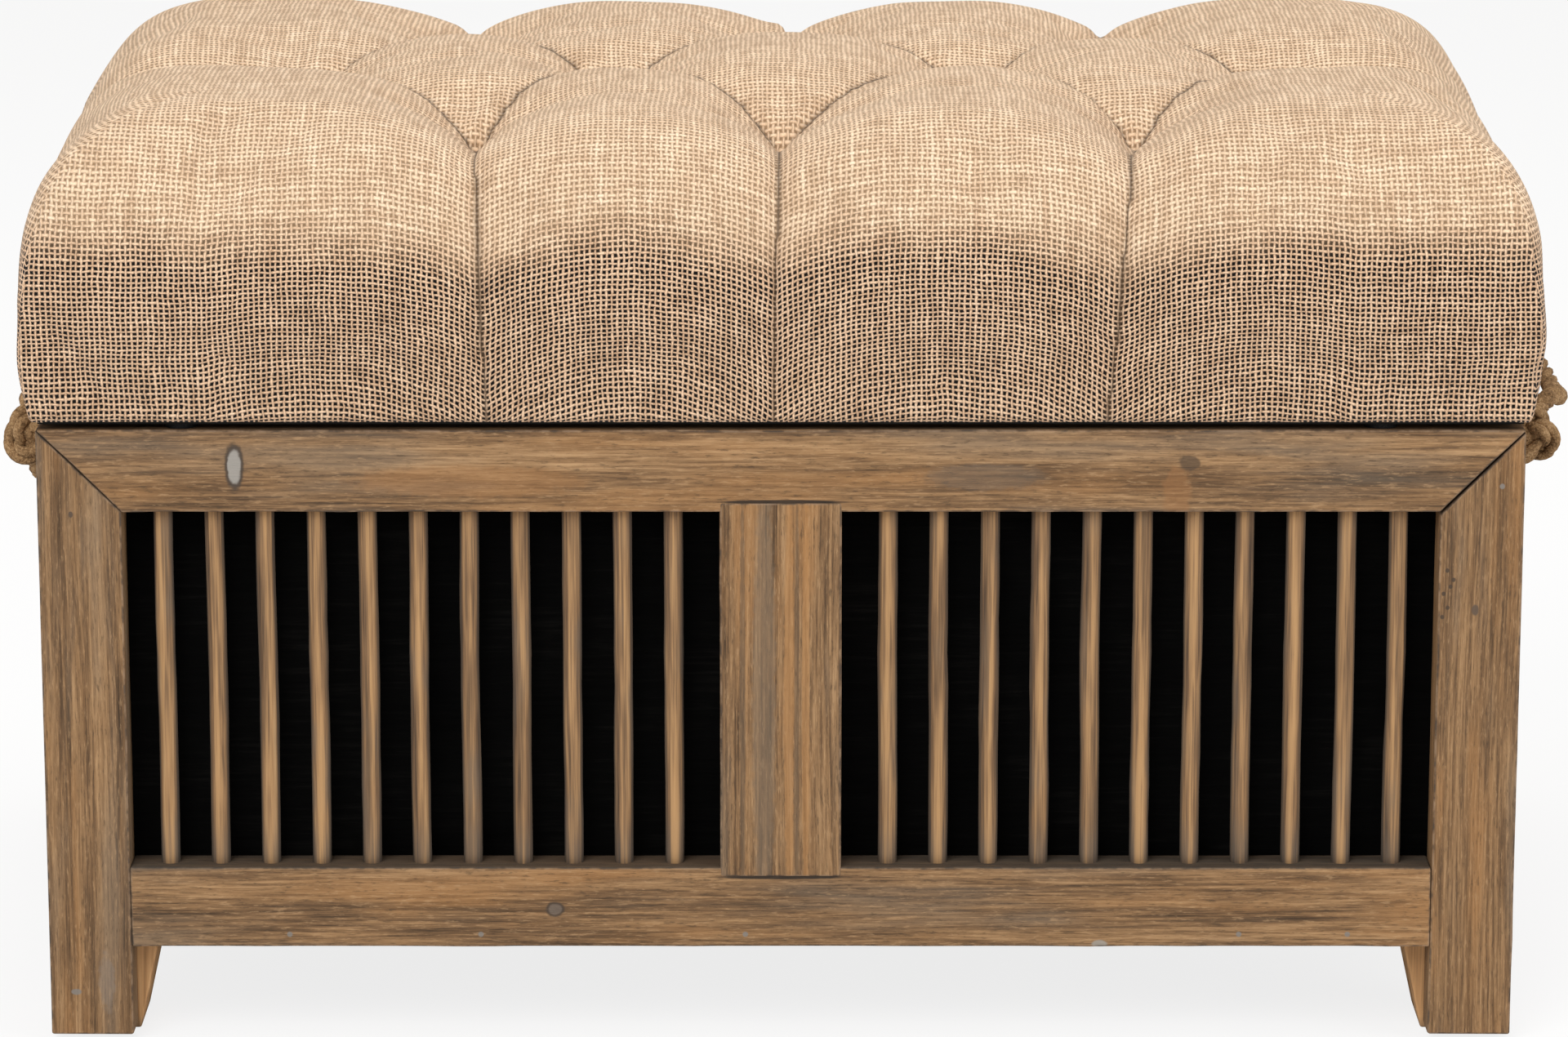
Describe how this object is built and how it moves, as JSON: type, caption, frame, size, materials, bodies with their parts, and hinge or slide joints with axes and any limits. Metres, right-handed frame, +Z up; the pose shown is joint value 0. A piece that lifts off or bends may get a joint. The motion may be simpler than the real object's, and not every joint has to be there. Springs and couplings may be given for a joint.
{
  "type": "storage_bench",
  "caption": "Storage bench with a weathered fir crate of round bars on short legs, a tufted burlap cushion lid on hinges with a folding stay, and rope handles",
  "frame": {"origin": "on the floor under the middle of the crate", "axes": "+X to the right across the front, the front faces -Y, +Z up"},
  "size_m": [0.6857, 0.4184, 0.3972],
  "materials": {
    "weathered_fir": "matte",
    "fresh_fir": "matte",
    "black_board": "matte",
    "jute": "matte",
    "burlap": "matte",
    "zinc_steel": "satin",
    "black_felt": "matte"
  },
  "bodies": {
    "crate": {"front_left_stile": "weathered_fir", "front_right_stile": "weathered_fir", "front_top_rail": "weathered_fir", "front_bottom_rail": "weathered_fir", "front_centre_stile": "weathered_fir", "front_left_bars": "weathered_fir", "front_right_bars": "weathered_fir", "back_left_stile": "weathered_fir", "back_right_stile": "weathered_fir", "back_top_rail": "weathered_fir", "back_bottom_rail": "weathered_fir", "back_centre_stile": "weathered_fir", "back_left_bars": "weathered_fir", "back_right_bars": "weathered_fir", "left_front_stile": "weathered_fir", "left_back_stile": "weathered_fir", "left_top_rail": "weathered_fir", "left_bottom_rail": "weathered_fir", "left_bars": "weathered_fir", "right_front_stile": "weathered_fir", "right_back_stile": "weathered_fir", "right_top_rail": "weathered_fir", "right_bottom_rail": "weathered_fir", "right_bars": "weathered_fir", "front_left_foot": "fresh_fir", "front_right_foot": "fresh_fir", "back_left_foot": "fresh_fir", "back_right_foot": "fresh_fir", "floor_board": "black_board", "floor_cleats": "weathered_fir", "front_lining": "black_board", "back_lining": "black_board", "left_lining": "black_board", "right_lining": "black_board", "left_rope": "jute", "right_rope": "jute", "left_rope_knots": "jute", "right_rope_knots": "jute", "left_hinge_base": "zinc_steel", "right_hinge_base": "zinc_steel", "left_hinge_pin": "zinc_steel", "right_hinge_pin": "zinc_steel", "base_screws": "zinc_steel", "stay_anchor": "zinc_steel", "lid_bumpers": "black_felt"},
    "lid": {"left_hinge_leaf": "zinc_steel", "right_hinge_leaf": "zinc_steel", "lid_screws": "zinc_steel", "stay_lid_bracket": "zinc_steel", "lid_board": "black_board", "cushion": "burlap", "dust_cover": "black_felt", "tuft_ties": "jute"},
    "stay_lower": {"stay_lower_arm": "zinc_steel"},
    "stay_upper": {"stay_upper_arm": "zinc_steel"}
  },
  "joints": [
    {"name": "lid_hinge", "type": "hinge", "parent": "crate", "child": "lid", "pos_m": [0, 0.2029, 0.2672], "axis": [-1, 0, 0], "range_deg": [0, 95]},
    {"name": "stay_lower_pivot", "type": "hinge", "parent": "crate", "child": "stay_lower", "pos_m": [0.2854, 0.15, 0.131], "axis": [-1, 0, 0], "range_deg": [0, 95]},
    {"name": "stay_upper_pivot", "type": "hinge", "parent": "lid", "child": "stay_upper", "pos_m": [0.2835, 0.14, 0.256], "axis": [-1, 0, 0], "range_deg": [-95, 0]}
  ],
  "couplings": [
    {"joint": "stay_lower_pivot", "follows": "lid_hinge", "ratio": 1},
    {"joint": "stay_upper_pivot", "follows": "lid_hinge", "ratio": -1}
  ]
}
